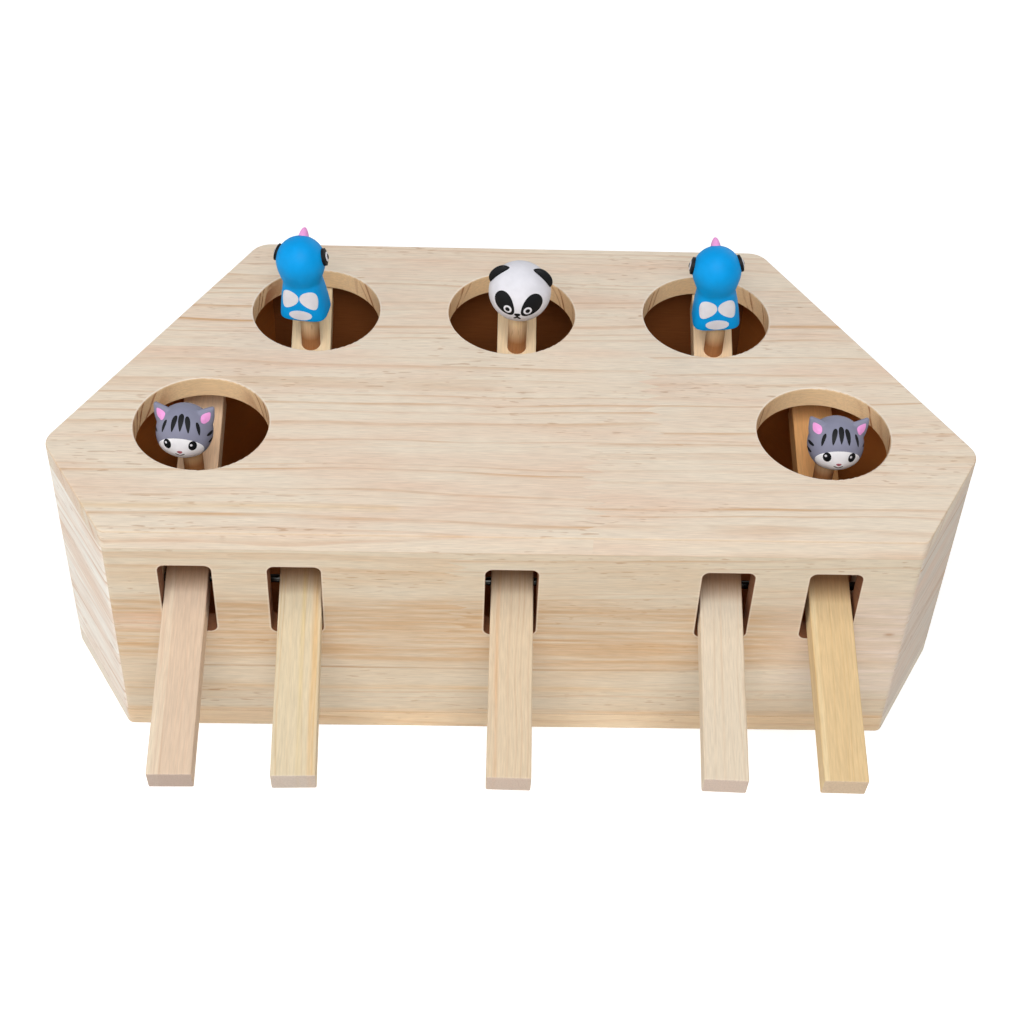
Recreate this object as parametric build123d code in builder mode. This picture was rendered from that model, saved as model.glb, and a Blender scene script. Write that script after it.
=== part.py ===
from build123d import *

import os
from math import asin, atan2, cos, degrees, hypot, radians, sin, tan
from typing import NamedTuple

# Five-hole whack-a-mole toy: a six-sided pine box, five wooden levers on one steel rod, and a rubber figure
# on a dowel above each lever. Millimetres, +Z up from the table. X runs from the player's left to right, and Y
# from the lever tips to the back board. The origin is on the table, in the middle of the toy's outline.

# Casing
casing_width = 325.0  # across the two widest corners, before corners are rounded
corner_flare = 25.0  # each end of the front face out to the widest corner
side_taper = 65.5  # each widest corner in to the end of the back face
casing_depth = 156.5  # front face to back face
widest_setback = 43.3  # front face back to the widest corners
casing_height = 100.0  # table to the lid's top
wall_thickness = 8.0
lid_thickness = 8.0
base_thickness = 8.0
corner_radius = 8.0  # upright corners at the sides and the back
front_corner_radius = 3.0
board_edge_radius = 0.7  # around the lid's top and the bottom board's underside

# Holes in the lid and the lines that the levers run along
hole_diameter = 47.0
hole_rim_radius = 0.6
outer_line_margin = 27.4  # end of the front face in to an outer lever line
slot_shift = -0.7  # the row of slots stands this far right of the middle
outer_hole_inset = 1.1  # outer holes stand this much nearer the middle than their lever lines
inner_hole_inset = 0.7
outer_hole_setback = 53.5  # front face back to the outer holes
inner_hole_margin = 39.5  # back face forward to the three inner holes

# Slots in the front board
slot_side_clearance = 1.65  # each side of a lever
slot_height = 32.5
slot_lid_gap = 8.0  # slot's top up to the lid
slot_corner_radius = 2.5

# Pivot rod and the blocks that carry it
rod_diameter = 3.0
rod_clearance = 0.05  # all round the rod
rod_overhang = 1.5  # beyond the end blocks
pivot_gap = 6.5  # front board's back face to the rod's axis
pivot_drop = 4.75  # slot's middle down to the rod's axis
block_width = 10.0
block_height = 22.0
block_depth = 13.0
block_slot_gap = 1.5  # outer slot to the end block

# Levers
lever_width = 14.7
lever_thickness = 9.0
lever_edge_radius = 0.5
lever_front_length = 78.4  # rod's axis to the tip
inner_lever_tail = 27.5  # past the hole's middle
outer_lever_tail = 40.0
lever_stop_gap = 0.8  # left under the lid when an inner lever's figure is up

# Dowels
dowel_diameter = 7.0
dowel_clearance = 0.05  # all round, in the lever and in the figure
dowel_socket_depth = 5.0  # into the lever
kitten_dowel_show = 16.8  # bare length between lever and figure
hatchling_dowel_show = 15.9
panda_dowel_show = 17.3
dowel_lead = 3.0  # hole's middle forward to the dowel, so that the figure's arc stays inside the hole
bore_end_gap = 0.3  # dowel's top to the end of the figure's bore

# Kitten heads
kitten_radius = 9.7
kitten_base_drop = 8.2  # head's middle down to its flat base
kitten_bore_depth = 11.0
kitten_offset = 2.0  # head's middle outward from its dowel
kitten_ear_spread = 7.4  # head's middle out to an ear's root
kitten_ear_rise = 5.0  # head's middle up to an ear's root
kitten_ear_length = 7.0
kitten_ear_radius = 3.3
kitten_ear_tip_radius = 0.9
kitten_ear_lean = 32.0  # degrees outward

# Panda head
panda_radius = 11.4
panda_base_drop = 9.8
panda_bore_depth = 13.0
panda_ear_spread = 8.0
panda_ear_rise = 7.6
panda_ear_radius = 3.3

# Blue hatchlings
hatchling_body_width = 17.0
hatchling_body_depth = 14.0
hatchling_body_height = 16.5
hatchling_body_corner_radius = 4.5
hatchling_body_taper = 3.0  # degrees
hatchling_foot_radius = 1.2
hatchling_head_radius = 9.0
hatchling_head_rise = 23.0  # base up to the head's middle
hatchling_bore_depth = 17.0
hatchling_crest_height = 3.2  # above the head
hatchling_crest_lean = 45.0  # degrees from upright towards the face
hatchling_offset = -0.8  # to the right of its dowel
hatchling_crest_radius = 1.9
hatchling_crest_tip_radius = 0.8

# Places that follow from the sizes above; the lever lines stand two and three even pitches from the middle
front_width = casing_width - 2 * corner_flare
back_width = casing_width - 2 * side_taper
outer_line = front_width / 2 - outer_line_margin
line_pitch = outer_line / 3
inner_line = 2 * line_pitch
inner_hole_setback = casing_depth - inner_hole_margin
lid_z = casing_height - lid_thickness  # the lid's underside
wall_height = lid_z - base_thickness
slot_width = lever_width + 2 * slot_side_clearance
slot_middle_z = lid_z - slot_lid_gap - slot_height / 2
pivot_setback = wall_thickness + pivot_gap
pivot_z = slot_middle_z - pivot_drop
inner_rear_length = inner_hole_setback - pivot_setback + inner_lever_tail
outer_rear_length = outer_hole_setback - pivot_setback + outer_lever_tail

# The levers' slope with the figures up: the inner levers' rear top edges come up against the lid
stop_rise = lid_z - lever_stop_gap - pivot_z
lever_tilt = asin(stop_rise / hypot(inner_rear_length, lever_thickness / 2))
lever_tilt -= atan2(lever_thickness / 2, inner_rear_length)

# Lever tips stand out this far from the front face, which sets the middle of the outline
tip_run = (lever_front_length - lever_edge_radius) * cos(lever_tilt)
tip_run += (lever_thickness / 2 - lever_edge_radius) * sin(lever_tilt) + lever_edge_radius
tip_reach = tip_run - pivot_setback
front_y = (tip_reach - casing_depth) / 2
back_y = front_y + casing_depth
pivot_y = front_y + pivot_setback


class Station(NamedTuple):
    """One lever's place, counted from the left; skew turns the loose lever in plan, rear end to the right."""

    number: int
    line_x: float
    drift: float
    skew: float
    hole_x: float
    hole_y: float
    rear_length: float
    dowel_show: float


outer_hole_x = outer_line - outer_hole_inset
inner_hole_x = inner_line - inner_hole_inset
outer_hole_y = front_y + outer_hole_setback
inner_hole_y = front_y + inner_hole_setback
stations = [
    Station(
        1, slot_shift - outer_line, -1.5, -0.57, -outer_hole_x, outer_hole_y, outer_rear_length, kitten_dowel_show
    ),
    Station(
        2, slot_shift - inner_line, 1.0, -1.18, -inner_hole_x, inner_hole_y, inner_rear_length, hatchling_dowel_show
    ),
    Station(3, slot_shift, 0.76, 1.24, 0.0, inner_hole_y, inner_rear_length, panda_dowel_show),
    Station(
        4, slot_shift + inner_line, -0.1, 2.33, inner_hole_x, inner_hole_y, inner_rear_length, hatchling_dowel_show
    ),
    Station(
        5, slot_shift + outer_line, 0.94, 1.1, outer_hole_x, outer_hole_y, outer_rear_length, kitten_dowel_show
    ),
]


def dowel_foot(station):
    """Where the dowel's axis meets the top of its lever."""
    run = station.hole_y - dowel_lead - pivot_y
    x = station.line_x + station.drift + run * tan(radians(station.skew))
    z = pivot_z + run / cos(radians(station.skew)) * tan(lever_tilt) + lever_thickness / 2 / cos(lever_tilt)
    return Vector(x, pivot_y + run, z)


def figure_base(station):
    """The middle of a figure's flat base, on its dowel's axis."""
    return dowel_foot(station) + Vector(0, 0, station.dowel_show)


def finish(part, name):
    """Labels a piece and writes it as one STEP file."""
    part.label = name
    export_step(part, f"parts/{name}.step")


os.makedirs("parts", exist_ok=True)

# Casing: mitred wall boards between a lid and a bottom board of the same outline
casing_corners = [
    Vector(-front_width / 2, front_y),
    Vector(front_width / 2, front_y),
    Vector(casing_width / 2, front_y + widest_setback),
    Vector(back_width / 2, back_y),
    Vector(-back_width / 2, back_y),
    Vector(-casing_width / 2, front_y + widest_setback),
]
wall_names = [
    "front_board",
    "right_corner_board",
    "right_side_board",
    "back_board",
    "left_side_board",
    "left_corner_board",
]


def inner_corner(index):
    """The corner inside the walls: both faces that meet there, set in by the wall's thickness."""
    corner = casing_corners[index]
    arriving = (corner - casing_corners[index - 1]).normalized()
    leaving = (casing_corners[(index + 1) % len(casing_corners)] - corner).normalized()
    inward = Vector(-arriving.Y, arriving.X) + Vector(-leaving.Y, leaving.X)
    return corner + inward * (wall_thickness / (1 + arriving.dot(leaving)))


with BuildSketch() as casing_outline:
    Polygon(*casing_corners, align=None)
    fillet(casing_outline.vertices().sort_by(Axis.Y)[2:], corner_radius)
    fillet(casing_outline.vertices().sort_by(Axis.Y)[:2], front_corner_radius)


def wall_board(index):
    """One wall, mitred at both ends and rounded where it reaches the casing's corners."""
    following = (index + 1) % len(casing_corners)
    with BuildPart() as board:
        with BuildSketch(Plane.XY.offset(base_thickness)):
            Polygon(
                casing_corners[index],
                casing_corners[following],
                inner_corner(following),
                inner_corner(index),
                align=None,
            )
            add(casing_outline.sketch, mode=Mode.INTERSECT)
        extrude(amount=wall_height)
    return board.part


for wall_index, wall_name in enumerate(wall_names[1:], start=1):
    finish(wall_board(wall_index), wall_name)

with BuildPart() as front_board:
    add(wall_board(0))
    with BuildSketch(Plane.XZ.offset(-front_y)):
        with Locations(*[(station.line_x, slot_middle_z) for station in stations]):
            RectangleRounded(slot_width, slot_height, slot_corner_radius)
    extrude(amount=-wall_thickness, mode=Mode.SUBTRACT)
finish(front_board.part, "front_board")

with BuildPart() as top_board:
    with BuildSketch(Plane.XY.offset(lid_z)):
        add(casing_outline.sketch)
        with Locations(*[(station.hole_x, station.hole_y) for station in stations]):
            Circle(hole_diameter / 2, mode=Mode.SUBTRACT)
    extrude(amount=lid_thickness)
    lid_top = top_board.faces().sort_by(Axis.Z)[-1]
    fillet(lid_top.outer_wire().edges(), board_edge_radius)
    lid_top = top_board.faces().sort_by(Axis.Z)[-1]
    rims = ShapeList([edge for rim in lid_top.inner_wires() for edge in rim.edges()])
    fillet(rims, hole_rim_radius)
finish(top_board.part, "top_board")

with BuildPart() as bottom_board:
    add(casing_outline.sketch)
    extrude(amount=base_thickness)
    fillet(bottom_board.faces().sort_by(Axis.Z)[0].edges(), board_edge_radius)
finish(bottom_board.part, "bottom_board")

# Pivot: the rod runs behind the front board, in two end blocks and two blocks beside the middle lever
end_block_x = outer_line + slot_width / 2 + block_slot_gap + block_width / 2
block_places = [-end_block_x, -inner_line / 2, inner_line / 2, end_block_x]
for block_number, block_x in enumerate(block_places, start=1):
    with BuildPart() as axle_block:
        with Locations((block_x, front_y + wall_thickness + block_depth / 2, pivot_z)):
            Box(block_width, block_depth, block_height)
        with Locations((block_x, pivot_y, pivot_z)):
            Cylinder(rod_diameter / 2 + rod_clearance, block_width, rotation=(0, 90, 0), mode=Mode.SUBTRACT)
    finish(axle_block.part, f"axle_block_{block_number}")

rod_length = 2 * (end_block_x + block_width / 2 + rod_overhang)
with BuildPart() as pivot_rod:
    with Locations((0, pivot_y, pivot_z)):
        Cylinder(rod_diameter / 2, rod_length, rotation=(0, 90, 0))
finish(pivot_rod.part, "pivot_rod")

# Levers: square-cut sticks, bored for the rod and drilled upright for the dowels
for station in stations:
    turn = radians(station.skew)
    pivot = Vector(station.line_x + station.drift, pivot_y, pivot_z)
    across = Vector(cos(turn), -sin(turn), 0)
    along = Vector(sin(turn) * cos(lever_tilt), cos(turn) * cos(lever_tilt), sin(lever_tilt))
    lever_plane = Plane(origin=pivot, x_dir=across, z_dir=across.cross(along))
    foot = dowel_foot(station)
    with BuildPart() as lever:
        with BuildSketch(lever_plane.offset(-lever_thickness / 2)):
            with Locations((0, (station.rear_length - lever_front_length) / 2)):
                Rectangle(lever_width, lever_front_length + station.rear_length)
        extrude(amount=lever_thickness)
        fillet(lever.edges(), lever_edge_radius)
        with Locations(pivot):
            Cylinder(rod_diameter / 2 + rod_clearance, 2 * lever_width, rotation=(0, 90, 0), mode=Mode.SUBTRACT)
        with Locations(foot - Vector(0, 0, dowel_socket_depth)):
            Cylinder(
                dowel_diameter / 2 + dowel_clearance,
                2 * dowel_socket_depth,
                align=(Align.CENTER, Align.CENTER, Align.MIN),
                mode=Mode.SUBTRACT,
            )
    finish(lever.part, f"lever_{station.number}")

# Dowels: from the socket's floor up into the figure
bore_depths = [kitten_bore_depth, hatchling_bore_depth, panda_bore_depth, hatchling_bore_depth, kitten_bore_depth]
for station, bore_depth in zip(stations, bore_depths):
    dowel_length = dowel_socket_depth + station.dowel_show + bore_depth - bore_end_gap
    with BuildPart() as dowel:
        with Locations(dowel_foot(station) - Vector(0, 0, dowel_socket_depth)):
            Cylinder(dowel_diameter / 2, dowel_length, align=(Align.CENTER, Align.CENTER, Align.MIN))
    finish(dowel.part, f"dowel_{station.number}")


def figure_bore(base, depth):
    """Cuts the dowel's bore up into the figure being built."""
    with Locations(base):
        Cylinder(
            dowel_diameter / 2 + dowel_clearance,
            2 * depth,
            mode=Mode.SUBTRACT,
        )


def round_head(middle, radius, base_drop):
    """Adds a ball with a flat base to the figure being built."""
    with Locations(middle):
        Sphere(radius)
    with Locations(middle - Vector(0, 0, base_drop)):
        Box(
            2 * radius,
            2 * radius,
            radius,
            align=(Align.CENTER, Align.CENTER, Align.MAX),
            mode=Mode.SUBTRACT,
        )


def make_kitten(station, outward, name):
    """A kitten's head with two pointed ears, a little off its dowel on the outer side."""
    base = figure_base(station)
    middle = base + Vector(outward * kitten_offset, 0, kitten_base_drop)
    with BuildPart() as kitten:
        round_head(middle, kitten_radius, kitten_base_drop)
        for side in (-1, 1):
            root = middle + Vector(side * kitten_ear_spread, 0, kitten_ear_rise)
            lean = radians(kitten_ear_lean)
            ear_direction = Vector(side * sin(lean), 0, cos(lean))
            with Locations(Plane(origin=root, x_dir=(0, 1, 0), z_dir=ear_direction)):
                Cone(
                    kitten_ear_radius,
                    kitten_ear_tip_radius,
                    kitten_ear_length,
                    align=(Align.CENTER, Align.CENTER, Align.MIN),
                )
        figure_bore(base, kitten_bore_depth)
    finish(kitten.part, name)


def make_hatchling(station, lean, turn, name):
    """A round-headed hatchling with a tapered body and a small crest; lean and turn in degrees, to the right."""
    dowel_base = figure_base(station)
    base = dowel_base + Vector(hatchling_offset, 0, 0)
    across = Vector(cos(radians(lean)), 0, -sin(radians(lean)))
    upright = Vector(sin(radians(lean)), 0, cos(radians(lean)))
    ahead = across * sin(radians(turn)) + Vector(0, cos(radians(turn)), 0)
    middle = base + upright * hatchling_head_rise
    crest_way = upright * cos(radians(hatchling_crest_lean)) + ahead * sin(radians(hatchling_crest_lean))
    crest_foot = middle + crest_way * (hatchling_head_radius - hatchling_crest_radius)
    with BuildPart() as hatchling:
        with BuildSketch(Plane(origin=base, x_dir=across, z_dir=upright)):
            RectangleRounded(hatchling_body_width, hatchling_body_depth, hatchling_body_corner_radius)
        extrude(amount=hatchling_body_height, taper=hatchling_body_taper)
        fillet(hatchling.faces().sort_by(Axis.Z)[0].edges(), hatchling_foot_radius)
        with Locations(middle):
            Sphere(hatchling_head_radius)
        with Locations(Plane(origin=crest_foot, x_dir=across, z_dir=crest_way)):
            Cone(
                hatchling_crest_radius,
                hatchling_crest_tip_radius,
                hatchling_crest_radius + hatchling_crest_height,
                align=(Align.CENTER, Align.CENTER, Align.MIN),
            )
        figure_bore(dowel_base, hatchling_bore_depth)
    finish(hatchling.part, name)


def make_panda(station, name):
    """A panda's head with two round ears."""
    base = figure_base(station)
    middle = base + Vector(0, 0, panda_base_drop)
    with BuildPart() as panda:
        round_head(middle, panda_radius, panda_base_drop)
        for side in (-1, 1):
            with Locations(middle + Vector(side * panda_ear_spread, 0, panda_ear_rise)):
                Sphere(panda_ear_radius)
        figure_bore(base, panda_bore_depth)
    finish(panda.part, name)


make_kitten(stations[0], -1, "left_kitten")
make_hatchling(stations[1], -2.3, 11.0, "left_hatchling")
make_panda(stations[2], "panda")
make_hatchling(stations[3], -5.0, 0.0, "right_hatchling")
make_kitten(stations[4], 1, "right_kitten")

print(f"lever slope {degrees(lever_tilt):.2f} degrees, rod axis at y {pivot_y:.3f}, z {pivot_z:.3f}")
print(f"front face y {front_y:.3f}, back face y {back_y:.3f}, lever tips {tip_reach:.2f} out from the front")
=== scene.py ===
"""Dresses a five-hole whack-a-mole toy: a pine box, planed levers on a steel rod and rubber figures."""

import logging
import math
from collections.abc import Callable, Sequence
from dataclasses import dataclass, field, replace
from enum import Enum
from typing import Any, ClassVar

import bpy
from mathutils import Matrix, Vector
from mathutils.bvhtree import BVHTree


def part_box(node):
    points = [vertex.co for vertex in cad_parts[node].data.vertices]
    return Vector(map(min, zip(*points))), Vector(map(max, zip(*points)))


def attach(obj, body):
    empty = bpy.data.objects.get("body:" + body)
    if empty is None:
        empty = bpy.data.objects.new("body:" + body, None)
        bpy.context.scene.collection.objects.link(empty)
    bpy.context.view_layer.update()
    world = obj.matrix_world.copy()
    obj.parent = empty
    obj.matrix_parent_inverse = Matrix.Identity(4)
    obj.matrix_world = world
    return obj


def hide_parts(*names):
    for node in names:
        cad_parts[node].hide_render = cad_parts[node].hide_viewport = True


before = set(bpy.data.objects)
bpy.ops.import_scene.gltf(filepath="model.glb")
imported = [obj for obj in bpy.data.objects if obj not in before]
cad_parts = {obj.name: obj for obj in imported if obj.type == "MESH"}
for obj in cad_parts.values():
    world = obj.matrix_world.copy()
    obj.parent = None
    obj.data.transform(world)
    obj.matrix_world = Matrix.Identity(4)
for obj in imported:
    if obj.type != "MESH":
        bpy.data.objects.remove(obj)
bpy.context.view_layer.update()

LOG = logging.getLogger("whack_a_mole")
MM = 0.001  # metres in a millimetre
WHITE = (1.0, 1.0, 1.0, 1.0)
RIGHT, BACK, UP = Vector((1, 0, 0)), Vector((0, 1, 0)), Vector((0, 0, 1))
SIDES = (-1, 1)  # left and right, as the player sees them
NOISE_LOW, NOISE_HIGH = 0.3, 0.7  # most of a noise lies between these
ALL_ALONG = (-200.0, 200.0)  # millimetres, further than any lever runs

Socket = Any  # a node's output, or a constant in its place
Rings = list[list[Vector]]  # loops of points, each going the same way round
Section = Callable[[float], tuple[float, float, float]]


def linear(colour: str) -> tuple[float, float, float, float]:
    """Turns an sRGB hex colour into linear light.

    Args:
        colour: Six hex digits after a hash sign.

    Returns:
        Red, green, blue and an alpha of 1.
    """
    shares = [int(colour[start : start + 2], 16) / 255 for start in (1, 3, 5)]
    lights = [share / 12.92 if share <= 0.04045 else ((share + 0.055) / 1.055) ** 2.4 for share in shares]
    return (*lights, 1.0)


class Graph:
    """A node tree, the one method that adds nodes to it, and the steps that the finishes share."""

    FACTOR, UNDER, OVER, RESULT = 0, 6, 7, 2  # the colour sockets of a Mix node

    def __init__(self, tree: bpy.types.NodeTree) -> None:
        """Empties the tree.

        Args:
            tree: The tree to fill.
        """
        self.tree = tree
        tree.nodes.clear()

    def add(
        self, kind: str, inputs: dict[Any, Socket] | None = None, out: int | str = 0, **settings: Any
    ) -> Socket:
        """Adds one node with its settings and links.

        Args:
            kind: The node's type name after "ShaderNode".
            inputs: Socket name or number to a constant, or to the socket that feeds it.
            out: Name or number of the output to hand back.
            settings: The node's own properties.

        Returns:
            The output socket, or None where the node has none.
        """
        node = self.tree.nodes.new("ShaderNode" + kind)
        for name, value in settings.items():
            setattr(node, name, value)
        for name, value in (inputs or {}).items():
            if isinstance(value, bpy.types.NodeSocket):
                self.tree.links.new(value, node.inputs[name])
            else:
                node.inputs[name].default_value = value
        return node.outputs[out] if len(node.outputs) else None

    def product(self, first: Socket, *others: Socket) -> Socket:
        """Multiplies numbers together.

        Args:
            first: The first number.
            others: What it is multiplied by.

        Returns:
            The product.
        """
        for other in others:
            first = self.add("Math", {0: first, 1: other}, operation="MULTIPLY")
        return first

    def dot(self, place: Socket, way: Sequence[float]) -> Socket:
        """How far a place lies along a way."""
        return self.add("VectorMath", {0: place, 1: way}, out="Value", operation="DOT_PRODUCT")

    def apart(self, value: Socket, place: float) -> Socket:
        """How far a number lies from a place."""
        offset = self.add("Math", {0: value, 1: place}, operation="SUBTRACT")
        return self.add("Math", {0: offset}, operation="ABSOLUTE")

    def lay(self, share: Socket, under: Socket, over: Socket, blend_type: str = "MIX") -> Socket:
        """Lays one colour over another, by a share."""
        sockets = {self.FACTOR: share, self.UNDER: under, self.OVER: over}
        return self.add("Mix", sockets, out=self.RESULT, data_type="RGBA", blend_type=blend_type)

    def shaded(self, colour: Socket, brightness: Socket) -> Socket:
        """A colour made paler or darker."""
        grey = self.add("CombineXYZ", {0: brightness, 1: brightness, 2: brightness})
        return self.lay(1.0, colour, grey, blend_type="MULTIPLY")

    def surface(self, sockets: dict[str, Socket]) -> None:
        """Ends a material with its shader."""
        self.add("OutputMaterial", {0: self.add("BsdfPrincipled", sockets)})


def new_material(name: str) -> bpy.types.Material:
    """Makes a material with a node tree.

    Args:
        name: The finish's name.

    Returns:
        The material.
    """
    material = bpy.data.materials.new(name)
    material.use_nodes = True
    return material


@dataclass(frozen=True)
class Pattern:
    """Noise drawn out along the grain, with features of a size in millimetres."""

    length: float
    width: float
    octaves: float = 0.0  # rounds of finer noise
    low: float = 0.0  # noise up to here counts as none
    high: float = 1.0  # noise from here on counts as full

    ROUGHNESS: ClassVar[float] = 0.55  # how strong each finer round is

    def noise(self, g: Graph, grain: Socket) -> Socket:
        """Adds the noise, about 0 to 1.

        Args:
            g: The graph.
            grain: Place in the wood, in millimetres.

        Returns:
            The noise.
        """
        scale = (1 / self.length, 1 / self.width, 1 / self.width)
        scaled = g.add("VectorMath", {0: grain, 1: scale}, operation="MULTIPLY")
        look = {"Vector": scaled, "Scale": 1.0, "Detail": self.octaves, "Roughness": self.ROUGHNESS}
        return g.add("TexNoise", look)

    def patches(self, g: Graph, grain: Socket, least: float = 0.0, most: float = 1.0) -> Socket:
        """The noise as soft patches, from a least to a most."""
        return g.add("MapRange", {0: self.noise(g, grain), 1: self.low, 2: self.high, 3: least, 4: most})


@dataclass(frozen=True)
class Streak:
    """A band, pitch line, stained stretch, small knot, or stretch of painted light or shade in the wood, in
    the board's own millimetres.
    """

    across: float
    start: float
    stop: float
    half_width: float
    colour: str
    strength: float = 0.8
    fade: float = 4.0  # millimetres over which its ends fade
    soft: float = 1.0  # share of its half width over which its sides fade
    patchy: bool = True  # whether it comes and goes along the grain


@dataclass(frozen=True)
class Cut:
    """A hole or slot with round corners, whose sides are coloured apart, partly with painted light and
    shade, in the board's own millimetres.
    """

    along: float
    across: float
    half_along: float
    half_across: float
    corner: float  # corner radius; a round hole is nothing but corners


@dataclass(frozen=True)
class Pine:
    """Sanded pine without varnish: pale earlywood, thin tan latewood lines, resin flecks, a dull surface."""

    name: str
    along: Vector  # the way the grain runs
    across: Vector  # the way the growth lines stack up on the face that shows
    inward: Vector  # from the face that shows into the wood
    seed: float
    early: str = "#e7d8c4"
    late: str = "#c69560"
    rosy: str = "#ca9c72"  # the latewood where it is redder
    blush: str = "#e3c7b0"  # the pinker heartwood that clouds the face
    end_colour: str = "#d8c3b4"
    end_share: float = 0.0  # how far faces across the grain take that colour
    line_spacing: float = 5.4  # millimetres between growth lines
    line_strength: float = 0.82
    fleck_strength: float = 0.5
    swing: float = 15.0  # how far a growth line wanders, in millimetres
    swing_length: float = 230.0
    strip_width: float = 0.0  # glued strips, or 0 for a board in one piece
    joint_spread: float = 90.0  # finger joints lie up to this far to either side of the middle
    streaks: tuple[Streak, ...] = ()
    cuts: tuple[Cut, ...] = ()
    cut_side_light_and_shade: str = "#f8d4a4"  # the sides of cuts: their own colour with painted light in the lid's holes and painted shade in the slots
    cut_end_grain_and_shade: str = "#aa6236"  # the same where a cut crosses the grain: darker end grain, with painted shade in the slots
    rim_highlight: str = "#f4e9db"  # painted highlight: a pale band along the edge round a cut
    inside_shade_depth: float | None = None  # painted shade: the inside is coloured dark from this depth on, along inward
    inside_shade: str = "#9a5828"
    seams: tuple[float, ...] = ()  # heights of the glue lines, in millimetres
    painted_edge_shade: float = 0.0  # painted shade: how far the rounded top and bottom edges are darkened, against the highlight they catch

    def build(self) -> bpy.types.Material:
        """Makes the material.

        Returns:
            The material.
        """
        material = new_material(self.name)
        PineGraph(material.node_tree, self).lay_out()
        return material


class PineGraph(Graph):
    """The nodes of one pine: each point's place in the wood, and the colour so far."""

    TOOTH_PITCH, TOOTH_LENGTH = 5.0, 8.0  # of a finger joint, in millimetres
    BEYOND_JOINT = 0.37  # tells the two lengths of a strip apart
    STAVE_TONES = (0.965, 1.02)  # brightness of the darkest and the palest length
    LOT_SPREAD = (900.0, 500.0, 500.0)  # millimetres of tree that the lengths are cut from
    SWING_WIDTH = 36.0  # millimetres across the grain that wander together
    RING_SLANT = (0.0, 1.0, 0.45)  # how the rings cross the face and go into the wood
    RIPPLE, RIPPLE_HEIGHT = Pattern(40.0, 7.0), 2.4
    YEARS_IN_STEP, YEAR_UNEVEN = 0.47, 2.2  # how quickly and how much the years' widths change
    LATE_START, LATE_PEAK = 0.55, 0.88  # shares of a year
    FAINTEST_YEAR, FAINTEST_PATCH = 0.1, 0.15
    LINE_PATCHES = Pattern(45.0, 5.0, 2.0, 0.3, 0.62)
    FIBRE = Pattern(7.0, 0.5, 2.0, 0.25, 0.75)
    FIBRE_SHADES = (0.89, 1.09)  # brightness of the darkest and the palest fibres
    CLOUD, CLOUD_STRENGTH = Pattern(80.0, 12.0, 2.0, 0.42, 0.7), 0.75
    REDNESS = Pattern(110.0, 9.0, 0.0, 0.4, 0.6)
    DASH, DASH_COLOUR = Pattern(5.0, 0.75, 0.0, 0.7, 0.78), "#b08560"
    DASH_PLACES = Pattern(60.0, 14.0, 0.0, 0.5, 0.65)
    STREAK_PATCHES, STREAK_SHARES = Pattern(45.0, 2.0, 2.0, 0.35, 0.65), (0.3, 1.2)
    STREAK_BEND = 3.0  # millimetres that a streak wanders
    END_GRAIN = (0.4, 0.95)  # how squarely a face meets the grain, where end grain begins and is full
    FULL_BAND, FAINTEST_BAND = 0.4, 0.1  # the scorched bands on a cut's side: line strength, least share
    CUT_SIDE, CUT_SIDE_SHARE = (0.0, 0.25), 0.95  # millimetres from the cut
    RIM, RIM_SHARE = (0.3, 0.8), 0.7  # millimetres from the cut
    SEAM, SEAM_SHARE, SEAM_COLOUR = (0.1, 0.35), 0.16, "#c79a68"  # millimetres from the glue line
    ROUNDING, HANDLED_COLOUR = (0.06, 0.2), "#c9a67c"  # level share times upright share of the way it faces
    STAIN_FIBRES, STAIN_STREAKS, STAIN_STREAK = (0.3, 0.7), 0.35, "#ac6836"
    LINE_RELIEF, BUMP_STRENGTH, BUMP_HEIGHT = 0.6, 0.35, 0.05  # height in millimetres
    EARLY_ROUGHNESS, LATE_ROUGHNESS = 0.66, 0.54
    SHEEN = 0.3  # bare wood reflects less than its IOR alone would give

    def __init__(self, tree: bpy.types.NodeTree, pine: Pine) -> None:
        """Finds each point's place in the wood.

        Args:
            tree: The tree to fill.
            pine: The pine.
        """
        super().__init__(tree)
        self.pine = pine
        self.coordinates = self.add("TexCoord", out="Object")
        self.normal = self.add("TexCoord", out="Normal")
        axes = (pine.along, pine.across, pine.inward)
        self.u, self.v, self.depth = (self.dot(self.coordinates, axis / MM) for axis in axes)
        place = self.add("CombineXYZ", {0: self.u, 1: self.v, 2: self.depth})
        lot, self.tone = self._stave()
        cut_from = {0: lot, 1: self.LOT_SPREAD, 2: place}
        self.grain = self.add("VectorMath", cut_from, operation="MULTIPLY_ADD")
        self.waver = Pattern(pine.swing_length, self.SWING_WIDTH, 1.0).noise(self, self.grain)
        self.line = self._growth_lines()
        self.fibre = self.FIBRE.noise(self, self.grain)
        self.crossing = self._crossing()
        self.colour: Socket = linear(pine.early)

    def lay_out(self) -> None:
        """Colours the wood layer by layer, and ends with its surface."""
        for layer in (
            self._heartwood, self._latewood, self._flecks, self._streaks, self._end_grain,
            self._cut_sides, self._fibres, self._seams, self._paint_edge_shade, self._paint_inside_shade,
        ):
            layer()
        heights = {0: self.line, 1: self.LINE_RELIEF, 2: self.fibre}
        relief = self.add("Math", heights, operation="MULTIPLY_ADD")
        bump = {"Strength": self.BUMP_STRENGTH, "Distance": self.BUMP_HEIGHT * MM, "Height": relief}
        dullness = {0: self.line, 3: self.EARLY_ROUGHNESS, 4: self.LATE_ROUGHNESS}
        self.surface({
            "Base Color": self.colour,
            "Roughness": self.add("MapRange", dullness),
            "Normal": self.add("Bump", bump),
            "Specular IOR Level": self.SHEEN,
        })

    def _cover(self, share: Socket, colour: Socket) -> None:
        """Lays a colour over what there is."""
        self.colour = self.lay(share, self.colour, colour)

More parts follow.
